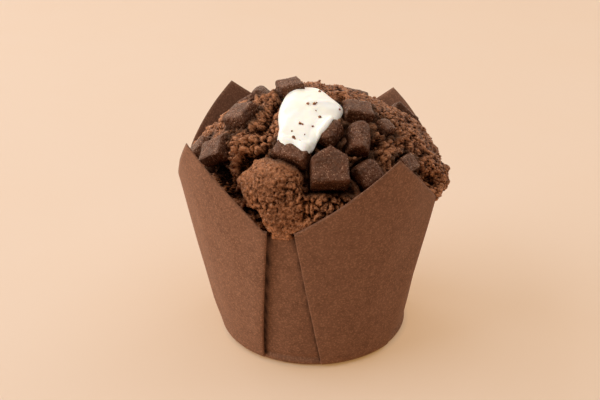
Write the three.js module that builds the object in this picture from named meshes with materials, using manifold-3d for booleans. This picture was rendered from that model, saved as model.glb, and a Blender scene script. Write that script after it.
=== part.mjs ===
// A double chocolate muffin in a folded paper tulip case, in millimetres, with +Z up.
// The origin is the centre of the base, on the surface that the muffin stands on, and the
// front is -Y. The pieces are the paper case, the baked cake, the chocolate chunks pressed
// into its top, and a spoonful of white icing.
import * as THREE from "three";
import { mergeVertices } from "three/addons/utils/BufferGeometryUtils.js";
import Module from "manifold-3d";

const wasm = await Module();
wasm.setup();

// ---- The paper case: a square sheet pressed round a tapered former ----
const BASE_RADIUS = 30;
const WALL_LEAN = THREE.MathUtils.degToRad(10.9);
const PAPER = 0.4;
const LAYER_GAP = 0.3; // air between two folded layers
const BASE_FILLET = 3;
const FOLD_START = 4; // height of wall over which the pleats grow from flat to fully folded
const FOLD_SPREAD = 0.31; // paper folded under, for each millimetre up the wall
// Lengths up the wall, from the base.
const CORNER_SLANT = 51.8; // where a petal's edge meets its fold
const UNDERFOLD_DROP = 2.2; // how much lower the same edge is at the hidden inner fold
const PANEL_DROP = 2.9; // and at the middle of the recessed panel
// Each petal rises from the pleat before it to the next one, going anticlockwise: front
// right, back right, back left and front left. tipRise is measured up from the corners.
const PETALS = [
  { tipAzimuth: -59, tipRise: 20.2 },
  { tipAzimuth: 49, tipRise: 16.4 },
  { tipAzimuth: 126, tipRise: 19.2 },
  { tipAzimuth: 220, tipRise: 23 },
];
// The gaps are half widths of the recessed panel that shows, at the base and at the top.
// The right pleat is pulled open where the cake swelled over it.
const PLEATS = [
  { azimuth: -104.3, before: [10.2, 3.6], after: [9.4, 4.5] },
  { azimuth: -12, before: [16.5, 11], after: [14, 13] },
  { azimuth: 86, before: [10, 4.2], after: [9.6, 3.8] },
  { azimuth: 179, before: [9.4, 4], after: [10, 4.4] },
];

// ---- The cake ----
const PIECE_GAP = 0.3; // clearance between neighbouring pieces
const WALL_GAP = 0.5; // clearance inside the folded wall, whose flat facets sag inwards
const DOME_OVERHANG = 0.2; // how far the plain dome reaches past the petals' corners
const DOME_FOOT_DROP = 3.9; // from the corners down to the dome's widest level
const DOME_RISE = 29.5;
const DOME_FULLNESS = 0.57; // 0.5 is an ellipse, and more is more pointed
// Where the dough swelled as it baked: the azimuth, the climb in degrees from the dome's
// widest level (0) to its top (90), the width of the swelling and its size.
const SWELLINGS = [
  { azimuth: -112, climb: 26, width: 12, swell: 2.2 },
  { azimuth: -140, climb: 45, width: 9, swell: 1.2 },
  { azimuth: -19, climb: 14, width: 9, swell: 3.2 },
  { azimuth: 15, climb: 26, width: 13, swell: 1.5 },
  { azimuth: 70, climb: 22, width: 14, swell: 1.8 },
  { azimuth: 150, climb: 26, width: 13, swell: 1.4 },
  { azimuth: -65, climb: 20, width: 8, swell: -1.2 },
];

// ---- The chocolate chunks ----
// Each lies on the dome at an azimuth and a share of the dome's radius. Its size is length,
// width and thickness, and sunk is how much of the thickness lies below the crumb. turn is
// measured from the uphill direction, and lean tips its outer end up. A chunk gives way to
// the ones listed before it, and to the petals.
const CHUNK_EDGE = 0.7;
const CHUNKS = [
  { name: "chunk_peak", kind: "block", at: [148, 0.18], size: [6.8, 7, 7], turn: 40, lean: -10, sunk: 3.2 },
  { name: "chunk_ridge", kind: "baton", at: [160, 0.4], size: [6.6, 6.2, 5.2], turn: 80, lean: 0, sunk: 1.6 },
  { name: "chunk_upper_left", kind: "block", at: [-162, 0.525], size: [7.8, 7.2, 6.2], turn: -38, lean: 0, sunk: 2.6 },
  { name: "chunk_left", kind: "block", at: [-153, 0.765], size: [9.4, 6.6, 4.8], turn: 52, lean: 4, sunk: 2.6 },
  { name: "chunk_far_left", kind: "block", at: [-172, 0.835], size: [6.4, 5.8, 4.6], turn: 15, lean: 0, sunk: 2.4 },
  { name: "chunk_under_icing", kind: "block", at: [-103, 0.655], size: [9.8, 5.2, 5.2], turn: 104, lean: 0, sunk: 3.2 },
  { name: "baton_by_icing", kind: "baton", at: [-76, 0.51], size: [7.8, 5.8, 4.8], turn: 46, lean: 5, sunk: 2 },
  { name: "chunk_upper_right", kind: "block", at: [-34, 0.4], size: [8, 6.6, 5.6], turn: 138, lean: 0, sunk: 3 },
  { name: "baton_upright", kind: "baton", at: [-57, 0.595], size: [9.4, 6.6, 5.8], turn: 32, lean: 8, sunk: 2 },
  { name: "chunk_front", kind: "house", at: [-82, 0.745], size: [11.2, 10.2, 6.8], turn: 4, lean: 0, sunk: 3.2 },
  { name: "chunk_front_right", kind: "block", at: [-62, 0.805], size: [7.6, 7.2, 5.6], turn: 74, lean: 4, sunk: 3 },
  { name: "chunk_behind_petal", kind: "block", at: [-38, 0.835], size: [6, 5, 3.8], turn: 90, lean: 0, sunk: 1.8 },
  { name: "chunk_small", kind: "block", at: [-29, 0.6], size: [5, 4.4, 4], turn: 20, lean: 0, sunk: 2 },
  { name: "chunk_back_right", kind: "block", at: [30, 0.825], size: [8.6, 7.6, 5.6], turn: 30, lean: 0, sunk: 3.2 },
  { name: "baton_back", kind: "baton", at: [62, 0.762], size: [8.6, 6.4, 5.2], turn: 70, lean: 0, sunk: 2.4 },
  { name: "chunk_back_low", kind: "block", at: [92, 0.838], size: [9.6, 8, 5.6], turn: -20, lean: 0, sunk: 3.2 },
  { name: "chunk_back_left", kind: "block", at: [126, 0.775], size: [8.4, 7.2, 5.6], turn: 50, lean: 0, sunk: 3 },
];

// ---- The icing: overlapping puddles, each an azimuth, a share of the dome's radius and its
// half sizes ----
const ICING = [
  { at: [-100, 0.2], size: [8.6, 8.4, 3] },
  { at: [-52, 0.215], size: [5, 4.2, 2.6] },
  { at: [-103, 0.425], size: [6.4, 6.2, 2.8] },
  { at: [-95, 0.575], size: [2.7, 4.6, 2.2] },
];
const ICING_LIFT = 0.8; // how high the middle of a puddle lies over the crumb

// ---- Materials ----
const PAPER_LOOK = { color: 0x5f3f2c, roughness: 0.85, metalness: 0 };
const CAKE_LOOK = { color: 0x3f2115, roughness: 0.9, metalness: 0 };
const CHOCOLATE_LOOK = { color: 0x2b1712, roughness: 0.4, metalness: 0 };
const ICING_LOOK = { color: 0xf6efdc, roughness: 0.35, metalness: 0 };

// ---- Sizes that follow from those above ----
const LAYER_STEP = PAPER + LAYER_GAP; // from the middle of one layer to the middle of the next
const CORNER_RADIUS = BASE_RADIUS + CORNER_SLANT * Math.sin(WALL_LEAN);
const CORNER_HEIGHT = CORNER_SLANT * Math.cos(WALL_LEAN);
const UNDERFOLD_SLANT = CORNER_SLANT - UNDERFOLD_DROP;
const PANEL_SLANT = CORNER_SLANT - PANEL_DROP;
const DOME_RADIUS = CORNER_RADIUS + DOME_OVERHANG;
const DOME_FOOT = CORNER_HEIGHT - DOME_FOOT_DROP;

// ---- How finely the curved surfaces are divided ----
const PETAL_STEPS = 6; // on each side of a petal's tip
const PANEL_STEPS = 6;
const HIDDEN_STEPS = 3;
const BEND_STEPS = 3;
const CAKE_SEGMENTS = 72;
const DOME_STEPS = 18;
const PUDDLE_SEGMENTS = [28, 16];

const { degToRad, lerp, smoothstep, clamp } = THREE.MathUtils;

// The whole steps from 0 to count, as shares from 0 to 1.
const sharesOf = (count) => Array.from({ length: count + 1 }, (_, k) => k / count);

// A closed geometry as a manifold-3d solid.
function solidOf(geometry) {
  const bare = geometry.index ? geometry.toNonIndexed() : geometry.clone();
  bare.deleteAttribute("normal");
  bare.deleteAttribute("uv");
  const merged = mergeVertices(bare, 1e-4);
  const vertProperties = new Float32Array(merged.attributes.position.array);
  const triVerts = new Uint32Array(merged.index.array);
  return new wasm.Manifold(new wasm.Mesh({ numProp: 3, vertProperties, triVerts }));
}

// A manifold-3d solid as a named mesh with its own material.
function meshOf(name, solid, look) {
  const made = solid.getMesh();
  const geometry = new THREE.BufferGeometry();
  geometry.setAttribute("position", new THREE.BufferAttribute(made.vertProperties, 3));
  geometry.setIndex(new THREE.BufferAttribute(made.triVerts, 1));
  geometry.computeVertexNormals();
  const mesh = new THREE.Mesh(geometry, new THREE.MeshStandardMaterial(look));
  mesh.name = name;
  return mesh;
}

// ---------------------------------------------------------------- the paper case

const wallRadius = (slant) => BASE_RADIUS + slant * Math.sin(WALL_LEAN);

// Half the width of recessed panel that shows on one side of a pleat, at this slant.
const gapAt = ([atBase, atTop], slant) => lerp(atBase, atTop, clamp(slant / CORNER_SLANT, 0, 1));

// How far a pleat has folded at this slant, from 0 (flat) to half a turn.
const foldTurn = (slant) => Math.PI * smoothstep(slant, 0, FOLD_START);

// The paper folded under at this slant.
function foldWidth(slant) {
  const opened = smoothstep(slant, 0, FOLD_START);
  return opened * FOLD_SPREAD * Math.max(slant, 0);
}

// One side of a pleat in section, from its petal inwards: a bend under, the hidden layer,
// and a bend back. along runs towards the middle of the pleat and depth is outwards.
// part is "outer", "hidden" or "inner", and share runs from 0 to 1 through it.
function foldPoint(part, share, slant) {
  const bend = LAYER_STEP / 2;
  const turn = foldTurn(slant);
  const width = foldWidth(slant);
  const angle = { outer: share * turn, hidden: turn, inner: (1 - share) * turn }[part];
  const way = { outer: 0, hidden: share, inner: 1 }[part] * width;
  const outerAngle = part === "outer" ? angle : turn;
  let along = bend * Math.sin(outerAngle) + way * Math.cos(turn);
  let depth = -bend * (1 - Math.cos(outerAngle)) - way * Math.sin(turn);
  if (part === "inner") {
    along += bend * (Math.sin(turn) - Math.sin(angle));
    depth -= bend * (Math.cos(angle) - Math.cos(turn));
  }
  return { along, depth, angle };
}

// The slant of the straight edge between two points of the wall, laid flat.
function edgeSlant(tipRise, span, azimuthFromTip) {
  const apex = BASE_RADIUS / Math.sin(WALL_LEAN);
  const whole = Math.abs(span) * Math.sin(WALL_LEAN);
  const part = Math.abs(azimuthFromTip) * Math.sin(WALL_LEAN);
  const corner = apex + CORNER_SLANT;
  const tip = corner + tipRise;
  return (tip * corner * Math.sin(whole)) / (tip * Math.sin(part) + corner * Math.sin(whole - part)) - apex;
}

// The columns of the sheet, anticlockwise. Each has the slant of its top edge, and a
// function of the slant that gives its azimuth, its depth and the way the sheet faces.
function sheetColumns() {
  const columns = [];
  const bendShares = sharesOf(BEND_STEPS);
  const sideOf = (pleat, sign, part, share, top) => ({
    top,
    at: (slant) => {
      const fold = foldPoint(part, share, slant);
      const gap = gapAt(sign < 0 ? pleat.before : pleat.after, slant);
      const azimuth = degToRad(pleat.azimuth) + (sign * (gap - fold.along)) / wallRadius(slant);
      return { azimuth, depth: fold.depth, facing: -sign * fold.angle };
    },
  });
  PLEATS.forEach((pleat, i) => {
    const side = (sign) => [
      ...bendShares.map((share) => sideOf(pleat, sign, "outer", share, CORNER_SLANT)),
      ...sharesOf(HIDDEN_STEPS).slice(1, -1).map((share) => {
        return sideOf(pleat, sign, "hidden", share, lerp(CORNER_SLANT, UNDERFOLD_SLANT, share));
      }),
      ...bendShares.map((share) => sideOf(pleat, sign, "inner", share, UNDERFOLD_SLANT)),
    ];
    const before = side(-1);
    const after = side(1).reverse();
    columns.push(...before);
    const [left, right] = [before.at(-1), after[0]];
    for (const share of sharesOf(PANEL_STEPS).slice(1, -1)) {
      columns.push({
        top: lerp(UNDERFOLD_SLANT, PANEL_SLANT, 1 - Math.abs(2 * share - 1)),
        at: (slant) => ({
          azimuth: lerp(left.at(slant).azimuth, right.at(slant).azimuth, share),
          depth: left.at(slant).depth,
          facing: 0,
        }),
      });
    }
    columns.push(...after, ...petalColumns(i));
  });
  return columns;
}

// The azimuths of a petal's two folds at this slant, and of its tip, all rising.
function petalSpan(i, slant) {
  const before = PLEATS[i];
  const next = PLEATS[(i + 1) % PLEATS.length];
  const radius = wallRadius(Math.min(slant, CORNER_SLANT));
  const start = degToRad(before.azimuth) + gapAt(before.after, slant) / radius;
  let end = degToRad(next.azimuth) - gapAt(next.before, slant) / radius;
  if (end < start) end += 2 * Math.PI;
  let tip = degToRad(PETALS[i].tipAzimuth);
  if (tip < start) tip += 2 * Math.PI;
  return { start, end, tip };
}

function petalColumns(i) {
  const columns = [];
  const top = petalSpan(i, CORNER_SLANT);
  const half = (fromKey, share) => {
    const azimuthAtTop = lerp(top[fromKey], top.tip, share);
    return {
      top: edgeSlant(PETALS[i].tipRise, top.tip - top[fromKey], top.tip - azimuthAtTop),
      at: (slant) => {
        const span = petalSpan(i, slant);
        return { azimuth: lerp(span[fromKey], span.tip, share), depth: 0, facing: 0 };
      },
    };
  };
  const rising = sharesOf(PETAL_STEPS).slice(1);
  for (const share of rising) columns.push(half("start", share));
  for (const share of rising.slice(0, -1).reverse()) columns.push(half("end", share));
  return columns;
}

// A point of the case: the profile runs across the base, round the fillet and up the wall.
// The offset is measured outwards from the middle of the paper.
function casePoint(column, row, offset) {
  const tangent = BASE_FILLET * Math.tan((Math.PI / 2 - WALL_LEAN) / 2);
  let slant = 0;
  let radius = 0;
  let height = 0;
  let tilt = -Math.PI / 2; // the way the wall faces: straight down at the base
  if (row.kind === "base") radius = row.share * (BASE_RADIUS - tangent);
  if (row.kind === "fillet") {
    tilt = lerp(-Math.PI / 2, -WALL_LEAN, row.share);
    radius = BASE_RADIUS - tangent + BASE_FILLET * Math.cos(tilt);
    height = BASE_FILLET * (1 + Math.sin(tilt));
    slant = tangent * row.share;
  }
  if (row.kind === "wall") {
    slant = lerp(tangent, column.top, row.share);
    tilt = -WALL_LEAN;
    radius = wallRadius(slant);
    height = slant * Math.cos(WALL_LEAN);
  }
  const { azimuth, depth, facing } = column.at(slant);
  const out = depth + offset * Math.cos(facing);
  const across = (offset * Math.sin(facing)) / Math.max(radius, 1);
  const r = radius + out * Math.cos(tilt);
  return new THREE.Vector3(
    r * Math.cos(azimuth + across),
    r * Math.sin(azimuth + across),
    height + out * Math.sin(tilt) + PAPER / 2,
  );
}

function caseRows() {
  const rows = [{ kind: "base", share: 0.5 }, { kind: "base", share: 1 }];
  for (const share of [0.35, 0.7, 1]) rows.push({ kind: "fillet", share });
  for (const share of [0.035, 0.07, 0.14, 0.3, 0.5, 0.7, 0.85, 1]) rows.push({ kind: "wall", share });
  return rows;
}

// The folded sheet: its outside and its inside are two grids of the same shape, closed by a
// strip along the top edge. Both grids end in a fan round the middle of the base.
function paperCase() {
  const columns = sheetColumns();
  const rows = caseRows();
  const count = columns.length;
  const grid = count * rows.length;
  const points = [];
  for (const offset of [PAPER / 2, -PAPER / 2]) {
    for (const row of rows) {
      for (const column of columns) points.push(casePoint(column, row, offset));
    }
  }
  points.push(new THREE.Vector3(0, 0, 0), new THREE.Vector3(0, 0, PAPER));
  const faces = [];
  const quad = (a, b, c, d) => faces.push(a, b, c, a, c, d);
  for (let c = 0; c < count; c += 1) {
    const next = (c + 1) % count;
    for (let r = 0; r < rows.length - 1; r += 1) {
      const [low, high] = [r * count, (r + 1) * count];
      quad(low + c, low + next, high + next, high + c);
      quad(grid + low + next, grid + low + c, grid + high + c, grid + high + next);
    }
    const rim = (rows.length - 1) * count;
    quad(rim + c, rim + next, grid + rim + next, grid + rim + c);
    faces.push(2 * grid, next, c);
    faces.push(2 * grid + 1, grid + c, grid + next);
  }
  const geometry = new THREE.BufferGeometry().setFromPoints(points);
  geometry.setIndex(faces);
  return solidOf(geometry);
}

// ---------------------------------------------------------------- the cake

// The height of the plain dome at a distance from the axis.
function domeHeight(radius) {
  const share = clamp(radius / DOME_RADIUS, 0, 1);
  return DOME_FOOT + DOME_RISE * (1 - share * share) ** DOME_FULLNESS;
}

// A point on the swollen dome, at an azimuth in degrees and a distance from the axis.
function domePoint(azimuthDegrees, radius) {
  const azimuth = degToRad(azimuthDegrees);
  const point = new THREE.Vector3(radius * Math.cos(azimuth), radius * Math.sin(azimuth), domeHeight(radius));
  return swollen(point);
}

// The plain dome's point, pushed out or drawn in by the swellings near it.
function swollen(point) {
  const centre = new THREE.Vector3(0, 0, DOME_FOOT);
  const outwards = point.clone().sub(centre).normalize();
  const moved = point.clone();
  for (const { azimuth, climb, width, swell } of SWELLINGS) {
    const radius = DOME_RADIUS * Math.cos(degToRad(climb));
    const height = DOME_FOOT + DOME_RISE * Math.sin(degToRad(climb));
    const angle = degToRad(azimuth);
    const middle = new THREE.Vector3(radius * Math.cos(angle), radius * Math.sin(angle), height);
    const near = Math.exp(-(point.distanceToSquared(middle) / (width * width)));
    moved.addScaledVector(outwards, swell * near);
  }
  return moved;
}

// The cake before anything is pressed into it: a turned profile that stands clear of the
// folded paper and swells over it, with each point of the dome moved by the swellings.
function cakeBlank() {
  const inside = 2 * LAYER_STEP + PAPER / 2 + WALL_GAP;
  const floor = PAPER + PIECE_GAP;
  const wallAt = (height) => {
    return BASE_RADIUS + (height - PAPER / 2) * Math.tan(WALL_LEAN) - inside / Math.cos(WALL_LEAN);
  };
  const lip = PAPER / 2 + CORNER_HEIGHT + inside * Math.sin(WALL_LEAN);
  const lipStep = 1.2; // from the lip up to where the dome's own curve begins
  const profile = [new THREE.Vector2(0, floor), new THREE.Vector2(wallAt(floor) - BASE_FILLET, floor)];
  profile.push(new THREE.Vector2(wallAt(floor + BASE_FILLET), floor + BASE_FILLET));
  for (const share of [0.3, 0.65, 1]) {
    const height = lerp(floor + BASE_FILLET, lip, share);
    profile.push(new THREE.Vector2(wallAt(height), height));
  }
  const footAngle = Math.asin((lip + lipStep - DOME_FOOT) / DOME_RISE);
  for (const share of sharesOf(DOME_STEPS).slice(0, -1)) {
    const radius = DOME_RADIUS * Math.cos(lerp(footAngle, Math.PI / 2, share));
    profile.push(new THREE.Vector2(radius, domeHeight(radius)));
  }
  profile.push(new THREE.Vector2(0, domeHeight(0)));
  const geometry = new THREE.LatheGeometry(profile, CAKE_SEGMENTS);
  geometry.rotateX(Math.PI / 2);
  const position = geometry.attributes.position;
  for (let i = 0; i < position.count; i += 1) {
    const point = new THREE.Vector3().fromBufferAttribute(position, i);
    if (point.z > lip + lipStep / 2) position.setXYZ(i, ...swollen(point).toArray());
  }
  return solidOf(geometry);
}

// The space that a petal and its clearance take up: a thick plate on the petal's outline,
// reaching outwards past the widest swelling.
function petalSpace(i) {
  const reach = 12;
  const margin = 1.2; // kept clear beyond the petal's edges
  const belowCorner = 6;
  const geometry = new THREE.BoxGeometry(1, 1, 1, 16, 4, 1);
  const position = geometry.attributes.position;
  const top = petalSpan(i, CORNER_SLANT);
  for (let k = 0; k < position.count; k += 1) {
    const across = 2 * position.getX(k);
    const up = position.getY(k) + 0.5;
    const out = position.getZ(k) > 0 ? reach : -PAPER / 2 - PIECE_GAP;
    const side = across < 0 ? "start" : "end";
    const azimuth = lerp(top.tip, top[side], Math.abs(across));
    const edge = edgeSlant(PETALS[i].tipRise, top.tip - top[side], top.tip - azimuth);
    const slant = lerp(CORNER_SLANT - belowCorner, edge + margin, up);
    const spread = (across * margin) / wallRadius(slant);
    const radius = wallRadius(slant) + out * Math.cos(WALL_LEAN);
    position.setXYZ(
      k,
      radius * Math.cos(azimuth + spread),
      radius * Math.sin(azimuth + spread),
      slant * Math.cos(WALL_LEAN) - out * Math.sin(WALL_LEAN) + PAPER / 2,
    );
  }
  return solidOf(geometry);
}

// ---------------------------------------------------------------- chunks and icing

// The outline of a chunk seen from above, its length along Y. grow widens it all round. A
// house is a block with one end broken to a blunt point.
function chunkOutline(kind, length, width, grow) {
  const x = width / 2 + grow - CHUNK_EDGE;
  const y = length / 2 + grow - CHUNK_EDGE;
  const corners = {
    block: [[-x, -y], [x, -y], [x, y], [-x, y]],
    house: [[-x, -y], [x, -y], [x, y * 0.35], [x * 0.1, y], [-x, y * 0.3]],
  }[kind];
  return new THREE.Shape(corners.map(([u, v]) => new THREE.Vector2(u, v)));
}

// A baton's half-round section, its flat side down at Y = 0.
function batonSection(width, thickness, grow) {
  const half = width / 2 + grow - CHUNK_EDGE;
  const rise = thickness + 2 * grow - 2 * CHUNK_EDGE;
  const shape = new THREE.Shape();
  shape.moveTo(-half, 0);
  shape.lineTo(half, 0);
  shape.absellipse(0, 0, half, rise, 0, Math.PI, false);
  return shape;
}

// A chunk lying flat with its underside at Z = 0 and its length along Y.
function chunkGeometry({ kind, size: [length, width, thickness] }, grow) {
  const bevel = { bevelThickness: CHUNK_EDGE, bevelSize: CHUNK_EDGE, bevelSegments: 2 };
  if (kind === "baton") {
    const depth = length + 2 * grow - 2 * CHUNK_EDGE;
    const shape = batonSection(width, thickness, grow);
    const geometry = new THREE.ExtrudeGeometry(shape, { depth, curveSegments: 12, ...bevel });
    geometry.translate(0, 0, -depth / 2);
    geometry.rotateX(Math.PI / 2);
    geometry.translate(0, 0, CHUNK_EDGE - grow);
    return geometry;
  }
  const depth = thickness + 2 * grow - 2 * CHUNK_EDGE;
  const geometry = new THREE.ExtrudeGeometry(chunkOutline(kind, length, width, grow), { depth, ...bevel });
  geometry.translate(0, 0, CHUNK_EDGE - grow);
  return geometry;
}

// The frame at a spot on the dome: X sideways, Y uphill and Z straight out of the crumb.
function domeFrame([azimuth, share], lift) {
  const radius = share * DOME_RADIUS;
  const reach = 1.5; // how far to each side the slope is measured
  const spot = domePoint(azimuth, radius);
  const inner = domePoint(azimuth, radius - reach);
  const outer = domePoint(azimuth, radius + reach);
  const uphill = inner.sub(outer).normalize();
  const angle = degToRad(azimuth);
  const sideways = new THREE.Vector3(-Math.sin(angle), Math.cos(angle), 0);
  const out = new THREE.Vector3().crossVectors(sideways, uphill);
  return new THREE.Matrix4().makeBasis(sideways, uphill, out).setPosition(spot.addScaledVector(out, lift));
}

function chunkSolid(chunk, grow) {
  const geometry = chunkGeometry(chunk, grow);
  geometry.rotateX(degToRad(chunk.lean));
  geometry.rotateZ(degToRad(-chunk.turn));
  geometry.applyMatrix4(domeFrame(chunk.at, -chunk.sunk));
  return solidOf(geometry);
}

function icingSolid(grow) {
  return ICING.map(({ at, size: [width, length, thickness] }) => {
    const geometry = new THREE.SphereGeometry(1, ...PUDDLE_SEGMENTS);
    geometry.scale(width + grow, length + grow, thickness + grow);
    geometry.applyMatrix4(domeFrame(at, ICING_LIFT));
    return solidOf(geometry);
  }).reduce((whole, puddle) => whole.add(puddle));
}

// ---------------------------------------------------------------- the muffin

const cutAll = (solid, cutters) => cutters.reduce((rest, cutter) => rest.subtract(cutter), solid);

function muffin() {
  const group = new THREE.Group();
  const pockets = CHUNKS.map((chunk) => chunkSolid(chunk, PIECE_GAP));
  const petalSpaces = PETALS.map((_, i) => petalSpace(i));
  const cake = cutAll(cakeBlank(), [...petalSpaces, ...pockets, icingSolid(PIECE_GAP)]);
  group.add(meshOf("paper_wrapper", paperCase(), PAPER_LOOK));
  group.add(meshOf("cake", cake, CAKE_LOOK));
  CHUNKS.forEach((chunk, i) => {
    const solid = cutAll(chunkSolid(chunk, 0), [...petalSpaces, ...pockets.slice(0, i)]);
    group.add(meshOf(chunk.name, solid, CHOCOLATE_LOOK));
  });
  group.add(meshOf("white_icing", cutAll(icingSolid(0), pockets), ICING_LOOK));
  return group;
}

const group = muffin();

export default group;
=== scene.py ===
"""A dark chocolate muffin in a folded paper tulip case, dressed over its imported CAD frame.

The script is laid out as a Blender add-on and is run as a script. Lengths are worked out in
millimetres and written into the meshes in metres, with +Z up and the front towards -Y.
"""

import math

import bpy
import numpy as np
from bpy.props import FloatProperty, FloatVectorProperty, PointerProperty
from bpy.types import Operator, Panel, PropertyGroup
from mathutils import Matrix, Vector


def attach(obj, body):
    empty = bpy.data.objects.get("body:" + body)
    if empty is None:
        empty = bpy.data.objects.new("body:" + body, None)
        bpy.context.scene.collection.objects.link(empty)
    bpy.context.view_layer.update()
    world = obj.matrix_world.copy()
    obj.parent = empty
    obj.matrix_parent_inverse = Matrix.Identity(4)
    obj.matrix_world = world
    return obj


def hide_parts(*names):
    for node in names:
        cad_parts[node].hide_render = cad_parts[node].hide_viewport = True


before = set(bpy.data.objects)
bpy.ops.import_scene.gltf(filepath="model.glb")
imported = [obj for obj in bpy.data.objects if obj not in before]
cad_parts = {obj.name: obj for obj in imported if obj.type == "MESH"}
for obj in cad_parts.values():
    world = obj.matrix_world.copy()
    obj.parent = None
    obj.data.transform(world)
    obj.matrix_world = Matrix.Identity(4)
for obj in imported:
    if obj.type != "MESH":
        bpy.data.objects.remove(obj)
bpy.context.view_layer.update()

bl_info = {
    "name": "Tulip Case Muffin",
    "version": (1, 0, 0),
    "blender": (4, 5, 0),
    "location": "3D View > Sidebar > Muffin",
    "description": "Builds a chocolate muffin with its folded case, chunks, icing and stage",
    "category": "Add Mesh",
}

MM = 0.001

# ---- The paper case, as the frame has it ----
BASE_RADIUS = 30.0
WALL_LEAN = math.radians(10.9)
CAD_PAPER = 0.4
LAYER_STEP = 0.7
BASE_FILLET = 3.0
FOLD_START = 4.0
FOLD_SPREAD = 0.31
CORNER_SLANT = 51.8
UNDERFOLD_SLANT = 49.6
PANEL_SLANT = 48.9
# Tip azimuth and slant, and how far the tip curls outwards (+) or inwards (-).
PETALS = (
    {"azimuth": -59.0, "slant": 72.0, "curl": 0.2},
    {"azimuth": 49.0, "slant": 68.2, "curl": -0.6},
    {"azimuth": 126.0, "slant": 71.0, "curl": 0.5},
    {"azimuth": 220.0, "slant": 74.8, "curl": 0.2},
)
# Half widths of the panel that shows at the base and the top, and how far each petal's fold
# stands off the panel at the base and the top.
PLEATS = (
    {"azimuth": -104.3, "before": (10.2, 3.6), "after": (9.4, 4.5), "lift": ((0.5, 0.9), (0.7, 0.1))},
    {"azimuth": -12.0, "before": (16.5, 11.0), "after": (14.0, 13.0), "lift": ((0.3, 0.5), (0.3, 0.3))},
    {"azimuth": 86.0, "before": (10.0, 4.2), "after": (9.6, 3.8), "lift": ((0.4, 0.2), (0.4, 0.6))},
    {"azimuth": 179.0, "before": (9.4, 4.0), "after": (10.0, 4.4), "lift": ((0.4, 0.5), (0.5, 0.3))},
)
# How far into a petal its fold's lift reaches.
LIFT_REACH = 5.0
# Spare room between the cake and the paper's lower layer, and behind a petal.
PAPER_PLAY = 0.35
PETAL_PLAY = 0.45
# A distance no part of the muffin reaches, for room that has no limit.
FAR = 99.0

# ---- The cake ----
DOME_RADIUS = BASE_RADIUS + CORNER_SLANT * math.sin(WALL_LEAN) + 0.2
DOME_FOOT = CORNER_SLANT * math.cos(WALL_LEAN) - 3.9
DOME_RISE = 29.5
DOME_FULLNESS = 0.57
# Azimuth, climb from the foot in degrees, width and swell of each place where the dough
# rose, as in the frame.
SWELLINGS = (
    (-112, 26, 12, 2.2), (-140, 45, 9, 1.2), (-19, 14, 9, 3.2), (15, 26, 13, 1.5),
    (70, 22, 14, 1.8), (150, 26, 13, 1.4), (-65, 20, 8, -1.2),
)
# Smaller folds and blisters of the crust: azimuth, distance from the axis, width and swell.
BLISTERS = (
    (-111, 33, 6.5, 1.9), (-103, 37, 5.0, 0.8), (-86, 36.8, 3.6, 0.9), (-151, 27, 4.5, 1.4),
    (-137, 27.5, 3.2, 1.3), (179, 14.5, 2.6, 2.0), (-178, 10.5, 2.6, 1.6), (-20, 17, 5.0, 0.9),
    (-14, 30, 6.5, 0.9), (-44, 29, 3.5, 0.8), (0, 9, 6.0, 0.8), (40, 12, 6.0, 0.9),
    (95, 20, 7.0, 1.0), (60, 36, 6.0, 0.9), (140, 18, 5.0, 0.8), (110, 34, 6.0, 0.9),
)
# Cracks and crevices: the two ends as azimuth and distance from the axis, width and depth.
CREVICES = (
    # The dark gap inside the front left petal.
    ((-155, 34.2), (-136, 35.4), 3.2, 7.5), ((-136, 35.4), (-126, 36.6), 2.6, 6.5),
    ((-126, 36.8), (-116, 38.2), 1.9, 4.5), ((-116, 38.2), (-110, 39.6), 1.3, 2.4),
    # Between the front lump and the crumb above it.
    ((-118, 25.0), (-121, 27.3), 1.5, 3.0), ((-121, 27.3), (-129, 30.5), 1.9, 4.0),
    ((-129, 30.5), (-134, 33.0), 2.2, 4.5),
    # Under the left chunk, and beside the upper left one.
    ((-151, 33.3), (-141, 30.8), 1.8, 3.5), ((-139, 22.5), (-134, 20.8), 1.4, 2.5),
    ((-134, 20.8), (-156, 10.8), 1.6, 2.6),
    # Round the front chunks, with a short split below them.
    ((-95.5, 29.5), (-93.5, 33.2), 1.3, 3.8), ((-94, 34.8), (-73, 34.6), 1.1, 2.2),
    ((-94.5, 36.2), (-94, 38.2), 0.45, 1.6), ((-71, 28.5), (-73, 32.8), 1.0, 3.0),
    ((-86, 23.8), (-75, 24.8), 1.0, 3.0), ((-75, 24.8), (-70, 26.8), 1.2, 3.2),
    # The torn right side.
    ((-44, 23.5), (-47, 26.3), 1.5, 2.8), ((-47, 26.3), (-53, 30.8), 1.5, 2.8),
    ((-30, 36.6), (-27, 37.6), 1.8, 2.8), ((-18, 8.5), (-31, 10.0), 1.0, 1.6),
    ((-25, 12), (-46, 19), 1.0, 1.4),
    # The back.
    ((12, 22), (22, 28), 0.9, 1.6), ((75, 24), (96, 27), 1.1, 2.0),
    ((120, 23), (140, 26), 1.0, 1.8), ((40, 18), (62, 22), 0.8, 1.4),
    ((150, 34), (165, 30), 1.4, 2.4),
)
# Chunks whose edges melted round.
WORN_CHUNKS = ("chunk_far_left", "chunk_front_right", "chunk_small")
# Where the crust stayed whole: azimuth, distance from the axis and width.
SMOOTH_CRUST = (
    (-112, 33, 9.5), (-104, 38, 7.5), (-124, 36, 6.0), (30, 30, 9.0), (105, 30, 10.0),
)

CHUNKS = tuple(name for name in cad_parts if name.startswith(("chunk_", "baton_")))
# How fine the meshes are: points along each side of the crumb's grid, rows up the case's wall,
# cells along each side of a chunk's ball, and points round and rings across the icing.
CRUMB_STEPS = 304
CASE_ROWS = 56
CHUNK_STEPS = 30
ICING_AROUND, ICING_RINGS = 260, 46
# Heights of the rings that close the cake inside the case.
CAKE_RINGS = (30.0, 8.0, 3.2, 1.0)
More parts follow.
